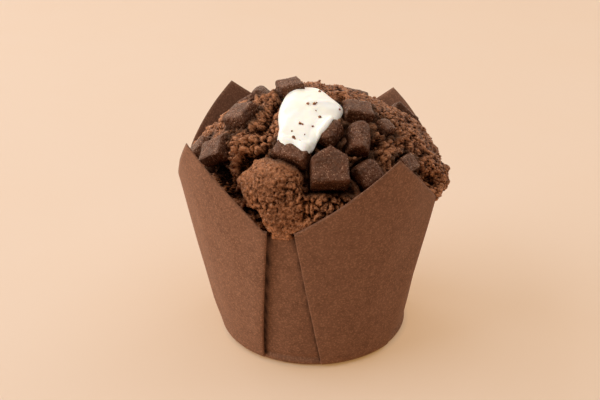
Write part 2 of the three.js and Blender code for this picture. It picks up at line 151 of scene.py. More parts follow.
# Power of the sum that rounds a chunk's edges: low for melted edges, high for crisp ones.
WORN_EDGE = 11.0
CRISP_EDGE = 55.0
# How far round a spot the icing levels a step, in millimetres.
ICING_BRIDGE = 1.6
SCATTERED_CRUMBS = 420
# Width of the middle part of a cell in which its seed point may lie, as a share of the cell.
CELL_SPREAD = 0.9


# ------------------------------------------------------------------ arithmetic


def lerp(a, b, t):
    """The straight mix of a and b."""
    return a + (b - a) * t


def smoothstep(x, low, high):
    """Rises from 0 at low to 1 at high as 3t^2 - 2t^3."""
    t = np.clip((x - low) / (high - low), 0.0, 1.0)
    return t * t * (3.0 - 2.0 * t)


def lattice(cell, seed):
    """A number from 0 to 1 for each whole-number cell, from a mix of its three indices."""
    i = cell.astype(np.int64) & 0xFFFFFFFF
    n = (i[..., 0] * 73856093) ^ (i[..., 1] * 19349663) ^ (i[..., 2] * 83492791)
    n = n ^ (seed * 2654435761)
    n = (n ^ (n >> 13)) & 0xFFFFFFFF
    n = (n * 1274126177) & 0xFFFFFFFF
    n = (n ^ (n >> 16)) & 0xFFFFFF
    return n / float(0xFFFFFF)


def smooth_noise(points, size, seed):
    """Value noise from -1 to 1: cell corner values mixed by the smooth step of each axis."""
    p = points / size
    cell = np.floor(p)
    t = p - cell
    t = t * t * (3.0 - 2.0 * t)
    total = np.zeros(p.shape[:-1])
    for corner in np.ndindex(2, 2, 2):
        corner = np.array(corner)
        weight = np.prod(np.where(corner == 1, t, 1.0 - t), axis=-1)
        total += weight * lattice(cell + corner, seed)
    return 2.0 * total - 1.0


def layered_noise(points, size, layers, seed):
    """A sum of smooth noises, each half the size and strength of the one before."""
    total = np.zeros(points.shape[:-1])
    share = 1.0
    for k in range(layers):
        turned = points + 17.3 * k
        total += share * smooth_noise(turned, size / 2**k, seed + k)
        share *= 0.5
    return total


def cells(points, size, seed):
    """Distance to the nearest and second nearest scattered seed point, in cell sizes, and a
    number from 0 to 1 that belongs to the nearest one."""
    p = points / size
    home = np.floor(p)
    near = np.full(p.shape[:-1], 9.0)
    second = near.copy()
    label = np.zeros(p.shape[:-1])
    for step in np.ndindex(3, 3, 3):
        cell = home + (np.array(step) - 1)
        jitter = np.stack([lattice(cell, seed + 11 * (k + 1)) for k in range(3)], axis=-1)
        gap = np.linalg.norm(cell + 0.5 + CELL_SPREAD * (jitter - 0.5) - p, axis=-1)
        closer = gap < near
        second = np.where(closer, near, np.minimum(second, gap))
        label = np.where(closer, lattice(cell, seed + 77), label)
        near = np.where(closer, gap, near)
    return near, second, label


def polar(azimuth_degrees, radius, height):
    """A point from its azimuth in degrees, its distance from the axis and its height."""
    angle = np.radians(azimuth_degrees)
    x, y = radius * np.cos(angle), radius * np.sin(angle)
    return np.stack(np.broadcast_arrays(x, y, height), axis=-1)


# ------------------------------------------------------------------ meshes


def new_piece(name, points, faces, material):
    """A mesh object at the origin from points in millimetres and an array of faces."""
    mesh = bpy.data.meshes.new(name)
    mesh.from_pydata((np.asarray(points) * MM).tolist(), [], list(faces))
    mesh.polygons.foreach_set("use_smooth", np.full(len(mesh.polygons), True))
    mesh.materials.append(material)
    mesh.update()
    piece = bpy.data.objects.new(name, mesh)
    bpy.context.scene.collection.objects.link(piece)
    return piece


def add_attribute(piece, name, values):
    """Stores one number per point, for the material to read."""
    layer = piece.data.attributes.new(name, "FLOAT", "POINT")
    layer.data.foreach_set("value", np.asarray(values, dtype=np.float32).ravel())


def grid_faces(rows, columns, closed=False, flip=False):
    """Quads of a grid of points in row order; closed joins the last column to the first."""
    across = columns if closed else columns - 1
    r, c = np.meshgrid(np.arange(rows - 1), np.arange(across), indexing="ij")
    after = (c + 1) % columns
    low, high = r * columns, (r + 1) * columns
    quads = np.stack([low + c, low + after, high + after, high + c], -1).reshape(-1, 4)
    return quads[:, ::-1] if flip else quads


def fan(middle, first, second):
    """Triangles from one point to each edge of a ring, given the edges' two ends."""
    return np.stack([np.full(len(first), middle), first, second], -1)


def points_of(mesh):
    """A mesh's points in millimetres."""
    points = np.empty(len(mesh.vertices) * 3)
    mesh.vertices.foreach_get("co", points)
    return points.reshape(-1, 3) / MM


def join_meshes(parts):
    """Stacks several (points, faces) pairs, renumbering the faces."""
    points, faces, start = [], [], 0
    for part_points, part_faces in parts:
        points.append(part_points)
        faces.extend((np.asarray(part_faces) + start).tolist())
        start += len(part_points)
    return np.concatenate(points), faces


def cube_ball(steps):
    """Directions spread evenly over a ball, from a cube whose sides are bent onto it, with
    the quads that join them and their shared edges merged."""
    t = np.tan(np.linspace(-math.pi / 4, math.pi / 4, steps + 1))
    a, b = np.meshgrid(t, t)
    one = np.ones_like(a)
    sides = [(a, b, one), (b, a, -one), (one, a, b), (-one, b, a), (b, one, a), (a, -one, b)]
    points = np.concatenate([np.stack(s, -1).reshape(-1, 3) for s in sides])
    points /= np.linalg.norm(points, axis=1, keepdims=True)
    count = steps + 1
    faces = np.concatenate([grid_faces(count, count) + k * count**2 for k in range(6)])
    _, first, same = np.unique(np.round(points, 6), axis=0, return_index=True, return_inverse=True)
    return points[first], same.ravel()[faces].tolist()


# ------------------------------------------------------------------ materials


class Nodes:
    """Builds a material's node tree with short calls."""

    def __init__(self, name):
        self.material = bpy.data.materials.new(name)
        self.material.use_nodes = True
        self.tree = self.material.node_tree
        self.tree.nodes.clear()
        output = self.tree.nodes.new("ShaderNodeOutputMaterial")
        self.shader = self.tree.nodes.new("ShaderNodeBsdfPrincipled")
        self.tree.links.new(self.shader.outputs["BSDF"], output.inputs["Surface"])
        self.coords = self.tree.nodes.new("ShaderNodeTexCoord").outputs["Object"]

    def put(self, socket, value):
        """Links an output to the socket, or sets its value."""
        if isinstance(value, bpy.types.NodeSocket):
            self.tree.links.new(value, socket)
        else:
            socket.default_value = value

    def set(self, **values):
        """Sets or links the shader's sockets; underscores stand for spaces."""
        for name, value in values.items():
            self.put(self.shader.inputs[name.replace("_", " ")], value)

    def noise(self, size_mm, detail, roughness):
        """A noise whose features are about size_mm across."""
        node = self.tree.nodes.new("ShaderNodeTexNoise")
        node.inputs["Scale"].default_value = 1.0
        node.inputs["Detail"].default_value = detail
        node.inputs["Roughness"].default_value = roughness
        self.put(node.inputs["Vector"], self.scaled(size_mm))
        return node.outputs["Fac"]

    def scaled(self, size_mm):
        """Coordinates divided by a size."""
        node = self.tree.nodes.new("ShaderNodeMapping")
        node.inputs["Scale"].default_value = [1.0 / (size_mm * MM)] * 3
        self.put(node.inputs["Vector"], self.coords)
        return node.outputs["Vector"]

    def grains(self, size_mm):
        """Distance to scattered grains size_mm apart."""
        node = self.tree.nodes.new("ShaderNodeTexVoronoi")
        node.inputs["Scale"].default_value = 1.0
        self.put(node.inputs["Vector"], self.scaled(size_mm))
        return node.outputs["Distance"]

    def nearness(self, size_mm):
        """1 at the origin, falling to 0 at a distance of size_mm."""
        node = self.tree.nodes.new("ShaderNodeTexGradient")
        node.gradient_type = "SPHERICAL"
        self.put(node.inputs["Vector"], self.scaled(size_mm))
        return node.outputs["Fac"]

    def attribute(self, name):
        """A number stored on the mesh's points."""
        node = self.tree.nodes.new("ShaderNodeAttribute")
        node.attribute_name = name
        return node.outputs["Fac"]

    def remap(self, value, low, high, to_low=0.0, to_high=1.0):
        """Maps low..high to to_low..to_high, held at the ends."""
        node = self.tree.nodes.new("ShaderNodeMapRange")
        names = ("Value", "From Min", "From Max", "To Min", "To Max")
        for name, number in zip(names, (value, low, high, to_low, to_high)):
            self.put(node.inputs[name], number)
        return node.outputs["Result"]

    def math(self, operation, a, b):
        """One arithmetic step on two numbers."""
        node = self.tree.nodes.new("ShaderNodeMath")
        node.operation = operation
        self.put(node.inputs[0], a)
        self.put(node.inputs[1], b)
        return node.outputs[0]

    def mix(self, share, a, b):
        """Mixes two colours."""
        node = self.tree.nodes.new("ShaderNodeMix")
        node.data_type = "RGBA"
        self.put(node.inputs["Factor"], share)
        for socket, value in ((node.inputs[6], a), (node.inputs[7], b)):
            self.put(socket, value if isinstance(value, bpy.types.NodeSocket) else (*value, 1.0))
        return node.outputs[2]

    def bump(self, height, depth_mm, below=None, strength=1.0):
        """A bump whose height output of 1 stands depth_mm high."""
        node = self.tree.nodes.new("ShaderNodeBump")
        node.inputs["Strength"].default_value = strength
        node.inputs["Distance"].default_value = depth_mm * MM
        self.put(node.inputs["Height"], height)
        if below is not None:
            self.put(node.inputs["Normal"], below)
        return node.outputs["Normal"]


def paper_material(look):
    """Brown greaseproof paper: softly mottled, with a fine light grain and short darker
    fibres, and painted shade beside its folds."""
    n = Nodes("Brown Paper")
    cloud = n.noise(9.0, 3.0, 0.6)
    mottle = n.noise(1.6, 4.0, 0.7)
    grain = n.noise(0.55, 3.0, 0.7)
    fibre = n.grains(0.7)
    colour = n.mix(n.remap(mottle, 0.32, 0.68, 0.15, 0.85), look.paper_dark, look.paper_light)
    colour = n.mix(n.remap(cloud, 0.38, 0.62, 0.0, 0.35), colour, look.paper_light)
    colour = n.mix(n.remap(grain, 0.5, 0.62, 0.0, 0.6), colour, look.paper_grain)
    colour = n.mix(n.remap(fibre, 0.1, 0.3, 0.4, 0.0), colour, look.paper_dark)
    # Painted shade on the lower layer under each fold's edge.
    colour = n.mix(n.math("MULTIPLY", n.attribute("fold_shade"), 0.9), colour, look.paper_fold_shade)
    height = n.math("ADD", grain, n.math("MULTIPLY", fibre, 0.4))
    first = n.bump(cloud, 0.25, strength=0.5)
    n.set(Base_Color=colour, Normal=n.bump(height, 0.07, first, 0.9))
    n.set(Roughness=n.remap(grain, 0.3, 0.7, 0.6, 0.8))
    n.set(Specular_IOR_Level=0.15)
    return n.material


def cake_material(look):
    """Moist chocolate crumb: painted light on its raised grains, painted shade that makes its
    pores and hollows black and dull, painted glints, and a melt stain darkened with painted
    shade round the chunks."""
    n = Nodes("Chocolate Crumb")
    patch = n.noise(6.0, 3.0, 0.5)
    grain = n.noise(0.7, 5.0, 0.7)
    large = n.remap(n.grains(1.15), 0.1, 0.32, 1.0, 0.0)
    small = n.remap(n.grains(0.6), 0.08, 0.3, 1.0, 0.0)
    pore = n.math("ADD", n.math("MULTIPLY", large, 0.75), n.math("MULTIPLY", small, 0.4))
    pore = n.math("MULTIPLY", pore, n.remap(patch, 0.35, 0.6, 0.45, 1.0))
    pore = n.math("MULTIPLY", pore, n.remap(n.attribute("crust"), 0.0, 1.0, 1.0, 0.55))
    raised = n.math("MULTIPLY", n.math("SUBTRACT", grain, 0.5), 2.6)
    # Painted shade and light: the level runs from pores and hollows, painted black, to raised grains,
    # painted light.
    painted_shading_level = n.math("SUBTRACT", n.math("ADD", n.attribute("crumb"), raised), pore)
    body = n.mix(n.remap(patch, 0.4, 0.65), look.crumb, look.crumb_warm)
    crust = n.math("MULTIPLY", n.attribute("crust"), n.remap(grain, 0.35, 0.6, 0.3, 0.8))
    body = n.mix(crust, body, look.crust)
    # Painted shade: pores and hollows take the near-black pore colour.
    colour = n.mix(n.remap(painted_shading_level, 0.0, 0.5), look.crumb_pore_shade, body)
    # Painted light: the raised grains take a lighter colour.
    colour = n.mix(n.remap(painted_shading_level, 0.55, 1.15), colour, look.crumb_raised_lit)
    # Painted glints: bright spots on the raised crumb, like light off sugar.
    sugar_and_painted_glint = n.remap(n.grains(0.9), 0.14, 0.26, 1.0, 0.0)
    sugar_and_painted_glint = n.math("MULTIPLY", sugar_and_painted_glint, n.remap(painted_shading_level, 0.35, 0.9))
    colour = n.mix(n.math("MULTIPLY", sugar_and_painted_glint, 0.8), colour, look.sugar_and_painted_glint)
    # A melt stain with painted shade: the crumb darkens next to each chunk.
    melt_and_shade = n.remap(n.math("ADD", n.attribute("melt_and_shade"), n.math("SUBTRACT", patch, 0.5)), 0.25, 0.75)
    colour = n.mix(n.math("MULTIPLY", melt_and_shade, 0.85), colour, look.crumb_melt_and_shade)
    height = n.math("SUBTRACT", n.math("MULTIPLY", grain, 1.4), n.math("MULTIPLY", pore, 0.7))
    n.set(Base_Color=colour, Normal=n.bump(height, 0.6))
    n.set(Roughness=n.remap(n.noise(0.9, 2.0, 0.5), 0.35, 0.65, 0.13, 0.38))
    n.set(Specular_IOR_Level=n.remap(painted_shading_level, 0.1, 0.7, 0.02, 0.6))
    n.set(Specular_Tint=(1.0, 0.62, 0.38, 1.0))
    return n.material


def chocolate_material(look):
    """Dark chocolate, half shiny, with light specks on its faces that are sugar and painted glints."""
    n = Nodes("Dark Chocolate")
    cloud = n.noise(3.0, 4.0, 0.6)
    grain = n.noise(0.6, 4.0, 0.7)
    speck = n.grains(0.85)
    coarse = n.remap(speck, 0.13, 0.25, 1.0, 0.0)
    # Light specks of sugar, partly painted glints.
    sugar_and_glint_specks = n.math("ADD", coarse, n.remap(n.grains(0.5), 0.15, 0.3, 0.6, 0.0))
    sugar_and_glint_share = n.math("MULTIPLY", sugar_and_glint_specks, n.remap(cloud, 0.4, 0.56, 0.2, 1.0))
    colour = n.mix(n.remap(cloud, 0.35, 0.7), look.chocolate, look.chocolate_worn)
    colour = n.mix(n.remap(grain, 0.48, 0.62, 0.0, 0.5), colour, look.chocolate_worn)
    colour = n.mix(n.math("MULTIPLY", sugar_and_glint_share, 0.7), colour, look.sugar_and_painted_glint)
    rough = n.math("ADD", grain, n.math("MULTIPLY", speck, 0.5))
    height = n.math("ADD", n.noise(1.8, 2.0, 0.5), rough)
    n.set(Base_Color=colour, Normal=n.bump(height, 0.55))
    n.set(Roughness=n.remap(cloud, 0.35, 0.65, 0.1, 0.3))
    n.set(Specular_IOR_Level=0.75, Specular_Tint=(1.0, 0.55, 0.34, 1.0))
    return n.material


def icing_material(look):
    """Smooth off-white icing, creamier in patches, a little see-through, with a faint painted glow."""
    n = Nodes("White Icing")
    cloud = n.noise(5.0, 2.0, 0.5)
    colour = n.mix(n.remap(cloud, 0.35, 0.7), look.icing, look.icing_cream_and_glow)
    n.set(Base_Color=colour, Normal=n.bump(n.noise(1.6, 2.0, 0.5), 0.06))
    # Painted light: a faint glow in the cream colour.
    n.set(Roughness=0.3, Emission_Color=(*look.icing_cream_and_glow, 1.0), Emission_Strength=0.1)
    n.set(Subsurface_Weight=0.3, Subsurface_Radius=(1.0, 0.75, 0.5), Subsurface_Scale=1.2 * MM)
    return n.material


def floor_material(look):
    """Matt board with a little warm light of its own, so that shadows on it stay light, and
    less of that light under the muffin's base, a painted contact shadow.
    """
    n = Nodes("Pale Floor")
    cloud = n.noise(60.0, 3.0, 0.5)
    n.set(Base_Color=n.mix(n.remap(cloud, 0.3, 0.7, 0.0, 0.03), look.floor, look.floor_glow))
    n.set(Roughness=0.9, Specular_IOR_Level=0.1)
    far = n.remap(n.nearness(2500.0), 0.4, 0.8, 1.0, 0.0)
    n.set(Emission_Color=n.mix(far, look.floor_glow, look.floor_far))
    # Painted shadow: the glow weakens under the muffin's base.
    n.set(Emission_Strength=n.remap(n.nearness(50.0), 0.38, 0.5, 1.0, 0.15))
    return n.material


# ------------------------------------------------------------------ the paper case


def wall_radius(slant):
    """Radius of the tapered wall at a length up it."""
    return BASE_RADIUS + slant * math.sin(WALL_LEAN)


def gap_at(gap, slant):
    """Half the width of panel that shows: a straight taper from base to corner."""
    return lerp(gap[0], gap[1], np.clip(slant / CORNER_SLANT, 0.0, 1.0))


def fold_section(part, share, slant):
    """One side of a pleat in section: distance along the wall towards the pleat's middle,
    depth outwards, and the angle the sheet has turned. An arc turns the sheet under, a
    straight run goes back, and a second arc turns it forward again."""
    bend = LAYER_STEP / 2
    opened = smoothstep(slant, 0.0, FOLD_START)
    turn = math.pi * opened
    width = opened * FOLD_SPREAD * np.maximum(slant, 0.0)
    if part == "outer":
        angle = share * turn
        return bend * np.sin(angle), -bend * (1 - np.cos(angle)), angle
    way = (share if part == "hidden" else 1.0) * width
    along = bend * np.sin(turn) + way * np.cos(turn)
    depth = -bend * (1 - np.cos(turn)) - way * np.sin(turn)
    if part == "hidden":
        return along, depth, turn
    angle = (1 - share) * turn
    along = along + bend * (np.sin(turn) - np.sin(angle))
    depth = depth - bend * (np.cos(angle) - np.cos(turn))
    return along, depth, angle


def edge_slant(tip_slant, span, from_tip):
    """Slant of the straight line from a petal's tip to its corner, with the cone laid flat."""
    apex = BASE_RADIUS / math.sin(WALL_LEAN)
    whole = abs(span) * math.sin(WALL_LEAN)
    part = np.abs(from_tip) * math.sin(WALL_LEAN)
    tip, corner = apex + tip_slant, apex + CORNER_SLANT
    across = tip * np.sin(part) + corner * np.sin(whole - part)
    return tip * corner * np.sin(whole) / across - apex


def petal_span(i, slant):
    """Azimuths of a petal's two folds at a slant, and of its tip, all rising."""
    before, after = PLEATS[i], PLEATS[(i + 1) % 4]
    radius = wall_radius(np.minimum(slant, CORNER_SLANT))
    start = math.radians(before["azimuth"]) + gap_at(before["after"], slant) / radius
    end = math.radians(after["azimuth"]) - gap_at(after["before"], slant) / radius
    end = np.where(end < start, end + 2 * math.pi, end)
    tip = math.radians(PETALS[i]["azimuth"])
    return start, end, np.where(tip < start, tip + 2 * math.pi, tip)


def petal_top(i, azimuth):
    """Slant of a petal's top edge at an azimuth within it."""
    start, end, tip = (float(v) for v in petal_span(i, CORNER_SLANT))
    first = edge_slant(PETALS[i]["slant"], tip - start, tip - azimuth)
    last = edge_slant(PETALS[i]["slant"], end - tip, azimuth - tip)
    return np.where(azimuth < tip, first, last)


def lift_at(pleat, side, slant):
    """How far the fold on one side of a pleat stands off, growing from nothing at the base."""
    low, high = pleat["lift"][side]
    return lerp(low, high, np.clip(slant / CORNER_SLANT, 0.0, 1.0)) * smoothstep(slant, 2.0, 14.0)


def fold_azimuth(pleat, sign, slant, along):
    """Azimuth of a point that lies along from the fold before (-1) or after (+1) a pleat."""
    gap = pleat["before"] if sign < 0 else pleat["after"]
    return math.radians(pleat["azimuth"]) + sign * (gap_at(gap, slant) - along) / wall_radius(slant)


def sheet_blocks(rows):
    """The sheet in strips, anticlockwise: for each, arrays of slant, azimuth, depth, facing
    and the distance along the paper, one row of each for every row of the sheet."""
    bends, straight = np.linspace(0.0, 1.0, 7), np.linspace(0, 1, 12)[1:-1]
    blocks = []

    def side(i, sign):
        pleat = PLEATS[i]
        parts = []
        for part, share in (("outer", bends), ("hidden", straight), ("inner", bends)):
            between = lerp(CORNER_SLANT, UNDERFOLD_SLANT, share)
            top = {"outer": CORNER_SLANT, "inner": UNDERFOLD_SLANT}.get(part, between)
            slant = rows(np.broadcast_to(top, share.shape))
            along, depth, angle = fold_section(part, share, slant)
            held = {"outer": 1.0, "hidden": 1.0 - share, "inner": 0.0}[part]
            depth = depth + held * lift_at(pleat, 0 if sign < 0 else 1, slant)
            parts.append([slant, fold_azimuth(pleat, sign, slant, along), depth, -sign * angle])
        if sign > 0:
            parts = [[a[:, ::-1] for a in part] for part in reversed(parts)]
        return [np.hstack(a) for a in zip(*parts)]

    for i in range(4):
        before, after = side(i, -1), side(i, 1)
        share = np.linspace(0, 1, 26)[1:-1]
        slant = rows(lerp(UNDERFOLD_SLANT, PANEL_SLANT, 1 - np.abs(2 * share - 1)))
        along, depth, _ = fold_section("inner", 1.0, slant)
        first, last = (fold_azimuth(PLEATS[i], sign, slant, along) for sign in (-1, 1))
        panel = [slant, lerp(first, last, share), depth, np.zeros_like(slant)]
        blocks += [before, panel, after, petal_block(i, rows)]
    return [np.hstack(a) for a in zip(*blocks)]


def petal_block(i, rows):
    """One petal between its folds. Its folds stand off the panels, and the lift dies away
    into the petal; its tip curls with the square of the height above a line 6 mm below the
    corners."""
    share = np.concatenate([np.linspace(0, 1, 29)[1:], 1 + np.linspace(0, 1, 29)[1:-1]])
    start, end, tip = (float(v) for v in petal_span(i, CORNER_SLANT))
    top_azimuth = np.where(share <= 1, lerp(start, tip, share), lerp(tip, end, share - 1))
    slant = rows(petal_top(i, top_azimuth))
    start, end, tip = petal_span(i, slant)
    azimuth = np.where(share <= 1, lerp(start, tip, share), lerp(tip, end, share - 1))
    radius = wall_radius(slant)
    before, after = PLEATS[i], PLEATS[(i + 1) % 4]
    first = np.exp(-((azimuth - start) * radius / LIFT_REACH) ** 2) * lift_at(before, 1, slant)
    last = np.exp(-((end - azimuth) * radius / LIFT_REACH) ** 2) * lift_at(after, 0, slant)
    rise = np.maximum(slant - CORNER_SLANT + 6, 0) / 26.0
    depth = first + last + PETALS[i]["curl"] * rise**2
    return [slant, azimuth, depth, np.zeros_like(slant)]


def case_points(columns, profile, offset):
    """Points of the sheet: radius and height of the profile, moved outwards by the fold's
    depth, the paper's waviness and half its thickness."""
    slant, azimuth, depth, facing = columns
    radius, height, tilt = profile
    where = polar(np.degrees(azimuth), wall_radius(slant), slant)
    broad = 0.28 * layered_noise(where * (1, 1, 0.35), 11.0, 2, 5)
    waves = broad + 0.1 * smooth_noise(where * (1, 1, 0.12), 3.6, 9)
    out = depth + waves * smoothstep(slant, 3.0, 16.0) + offset * np.cos(facing)
    across = offset * np.sin(facing) / np.maximum(radius, 1.0)
    r, turn = radius + out * np.cos(tilt), azimuth + across
    return np.stack([r * np.cos(turn), r * np.sin(turn), height + out * np.sin(tilt)], -1)


def case_profile(wall_rows):
    """The rows of the sheet: across the base, round the fillet and up the wall. Returns a
    function from top slants to slants, and one from slants to radius, height and tilt."""
    tangent = BASE_FILLET * math.tan((math.pi / 2 - WALL_LEAN) / 2)
    base = np.linspace(0.12, 1.0, 5)[:, None]
    fillet = np.linspace(0, 1, 8)[1:, None]
    wall = (np.linspace(0, 1, wall_rows + 1)[1:, None]) ** 1.15

    def slants(top):
        flat = np.zeros((len(base), len(top)))
        bend = np.broadcast_to(tangent * fillet, (len(fillet), len(top)))
        return np.vstack([flat, bend, tangent + (top - tangent) * wall])

    def profile(slant):
        radius, height = wall_radius(slant), slant * math.cos(WALL_LEAN)
        tilt = np.full(slant.shape, -WALL_LEAN)
        flat, bend = slice(0, len(base)), slice(len(base), len(base) + len(fillet))
        radius[flat], height[flat], tilt[flat] = base * (BASE_RADIUS - tangent), 0.0, -math.pi / 2
        tilt[bend] = lerp(-math.pi / 2, -WALL_LEAN, fillet)
        radius[bend] = BASE_RADIUS - tangent + BASE_FILLET * np.cos(tilt[bend])
        height[bend] = BASE_FILLET * (1 + np.sin(tilt[bend]))
        return radius, height, tilt

    return slants, profile


def fold_shade_share(slant, azimuth, depth):
    """Painted shade under the folds: 1 on the lower layer where a fold's edge lies over it,
    falling off as a bell curve.
    """
    share = np.zeros(slant.shape)
    for pleat in PLEATS:
        turn = (azimuth - math.radians(pleat["azimuth"]) + math.pi) % (2 * math.pi) - math.pi
        for sign, gap in ((-1, pleat["before"]), (1, pleat["after"])):
            off = sign * turn * wall_radius(slant) - gap_at(gap, slant)
            share = np.maximum(share, np.exp(-(((off + 0.35) / 0.55) ** 2)))
    return share * smoothstep(-depth, LAYER_STEP, 1.6 * LAYER_STEP)


def build_case(look, size):
    """The folded sheet: its outside and inside are two grids, joined along the top edge and
    each closed by a fan in the middle of the base."""
    slants, profile = case_profile(CASE_ROWS)
    columns = sheet_blocks(slants)
    place = profile(columns[0])
    rows, count = columns[0].shape
    half = size.paper / MM / 2
    outside = case_points(columns, place, half)
    inside = case_points(columns, place, -half)
    middles = [[0, 0, -half], [0, 0, half]]
    points = np.concatenate([outside.reshape(-1, 3), inside.reshape(-1, 3), middles])
    points[:, 2] += half
    total = rows * count
    c = np.arange(count)
    after = (c + 1) % count
    rim = (rows - 1) * count
    quads = np.concatenate([
        grid_faces(rows, count, True),
        grid_faces(rows, count, True, True) + total,
        np.stack([rim + c, rim + after, total + rim + after, total + rim + c], -1),
    ])
    fans = np.concatenate([fan(2 * total, after, c), fan(2 * total + 1, total + c, total + after)])
    piece = new_piece("case_sheet", points, quads.tolist() + fans.tolist(), paper_material(look))
    # Painted shade under the folds' edges, for the paper's colour.
    fold_shade = fold_shade_share(*columns[:3]).ravel()
    add_attribute(piece, "fold_shade", np.concatenate([fold_shade, np.zeros(total + 2)]))
    return piece


# ------------------------------------------------------------------ the cake


def dome_height(radius):
    """Height of the plain dome: an ellipse's formula with its root changed to a fullness."""
    share = np.clip(radius / DOME_RADIUS, 0.0, 1.0)
    return DOME_FOOT + DOME_RISE * (1 - share * share) ** DOME_FULLNESS


def outward(points):
    """Unit directions from the middle of the dome's foot."""
    away = points - np.array([0, 0, DOME_FOOT])
    return away / np.linalg.norm(away, axis=-1, keepdims=True)


def swollen(points):
    """Moves points of the plain dome out by a bell curve round each swelling."""
    moved = points.copy()
    away = outward(points)
    for azimuth, climb, width, swell in SWELLINGS:
        up, out = math.sin(math.radians(climb)), math.cos(math.radians(climb))
        middle = polar(azimuth, DOME_RADIUS * out, DOME_FOOT + DOME_RISE * up)
        gap = np.sum((points - middle) ** 2, -1)
        moved += away * (swell * np.exp(-gap / width**2))[..., None]
    return moved


def dome_spot(azimuth, radius):
    """A point on the swollen dome."""
    return swollen(polar(azimuth, radius, dome_height(radius))[None])[0]


def round_square(steps):
    """A square grid bent onto a disc, ring by ring, so that its cells stay even: returns the
    share of the radius and the angle at each point."""
    t = np.linspace(-1, 1, steps)
    a, b = np.meshgrid(t, t)
    wide = np.abs(a) > np.abs(b)
    share = np.where(wide, a, b)
    with np.errstate(divide="ignore", invalid="ignore"):
        angle = np.where(wide, math.pi / 4 * b / a, math.pi / 2 - math.pi / 4 * a / b)
    angle = np.nan_to_num(angle)
    return np.abs(share), np.where(share < 0, angle + math.pi, angle)


def profile_walk():
    """Radius and height along the cake's outline from the top to where it goes down inside
    the case, with the share of its length."""
    around = np.linspace(math.pi / 2, 0.13, 200)
    radius = DOME_RADIUS * np.cos(around)
    height = dome_height(radius)
    tuck_height = np.linspace(float(height[-1]), CORNER_SLANT * math.cos(WALL_LEAN) - 7.0, 30)[1:]
    radius = np.concatenate([radius, np.full_like(tuck_height, radius[-1] + 0.4)])
    height = np.concatenate([height, tuck_height])
    walked = np.concatenate([[0], np.cumsum(np.hypot(np.diff(radius), np.diff(height)))])
    return radius, height, walked / walked[-1]


def case_room(azimuth, height):
    """The largest radius the cake may have at an azimuth and height: inside the folded
    layers, and free above the panels' and petals' top edges."""
    slant = height / math.cos(WALL_LEAN)
    radius = BASE_RADIUS + height * math.tan(WALL_LEAN)
    lower_layer = radius - 2 * LAYER_STEP - PAPER_PLAY
    room = np.full(azimuth.shape, FAR)
    for i in range(4):
        pleat = PLEATS[i]
        turned = np.mod(azimuth - math.radians(pleat["azimuth"]) + math.pi, 2 * math.pi) - math.pi
        along = turned * radius
        before, after = (gap_at(pleat[side], slant) for side in ("before", "after"))
        edge = np.where(along < 0, before + along, after - along)
        over = smoothstep(slant, PANEL_SLANT - 0.4, PANEL_SLANT + 1.0) * smoothstep(edge, 0.3, 2.2)
        free = smoothstep(slant, CORNER_SLANT - 0.3, CORNER_SLANT + 1.5)
        panel = lower_layer + 2.4 * over + 30 * free
        room = np.where(edge > 0, np.minimum(room, panel), room)
        start, end, _ = (float(v) for v in petal_span(i, CORNER_SLANT))
        wound = start + np.mod(azimuth - start, 2 * math.pi)
        within = (wound < end) & (edge <= 0)
        behind = np.where(slant < CORNER_SLANT + 0.2, lower_layer, radius - PETAL_PLAY)
        above = slant > petal_top(i, np.minimum(wound, end)) + 0.3
        room = np.where(within & ~above, np.minimum(room, behind), room)
    return room


def segment_gap(points, start, end):
    """Distance from points to the straight line between two points."""
    line = end - start
    share = np.clip(((points - start) @ line) / (line @ line), 0.0, 1.0)
    return np.linalg.norm(points - start - share[..., None] * line, axis=-1)


def node_planes(name):
    """Faces of a convex CAD node as outward unit normals and distances from its middle, in
    millimetres, with the middle."""
    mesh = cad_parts[name].data
    points = points_of(mesh)
    mesh.calc_loop_triangles()
    corners = np.empty(len(mesh.loop_triangles) * 3, dtype=np.int64)
    mesh.loop_triangles.foreach_get("vertices", corners)
    a, b, c = points[corners.reshape(-1, 3)].transpose(1, 0, 2)
    normal = np.cross(b - a, c - a)
    area = np.linalg.norm(normal, axis=1)
    sound = area > 1e-4
    normal = normal[sound] / area[sound][:, None]
    middle = (points.min(0) + points.max(0)) / 2
    away = np.sum(normal * (a[sound] - middle), 1)
    _, first = np.unique(np.round(normal, 2), axis=0, return_index=True)
    return normal[first], away[first], middle


def sunk_into_chunks(points, inward, planes, roam):
    """Pushes points that lie in a chunk's pocket on along the inward way, to just under it.
    The pocket is the chunk widened by roam; the way out of a convex body is the nearest
    of its faces along the push."""
    moved = points.copy()
    for normal, away, middle in planes:
        from_middle = moved - middle
        near = np.sum(from_middle**2, -1) < 12.0**2
        p, w, wide = from_middle[near], inward[near], roam[near]
        height = p @ normal.T - away - wide[:, None]
        speed = w @ normal.T
        leave = np.where(speed > 0.05, -height / np.maximum(speed, 0.05), FAR)
        push = np.where((height < 0).all(1), leave.min(1) + 0.1, 0.0)
        moved[near] += w * push[:, None]
    return moved


def chunk_gap(points, planes):
    """Distance from points to the nearest chunk, taken as the largest distance outside any
    one face; below zero inside."""
    gap = np.full(len(points), 20.0)
    for normal, away, middle in planes:
        from_middle = points - middle
        near = np.sum(from_middle**2, -1) < 15.0**2
        gap[near] = np.minimum(gap[near], (from_middle[near] @ normal.T - away).max(1))
    return gap


def blurred(grid, reach):
    """The mean of a grid over a square of 2 * reach + 1 cells, one axis after the other."""
    for axis in (0, 1):
        margins = [(reach + 1, reach) if k == axis else (0, 0) for k in (0, 1)]
        wide = np.pad(grid, margins, mode="edge")
        total = np.cumsum(wide, axis=axis)
        width = 2 * reach + 1
        high = np.take(total, np.arange(width, total.shape[axis]), axis=axis)
        low = np.take(total, np.arange(0, total.shape[axis] - width), axis=axis)
        grid = (high - low) / width
    return grid


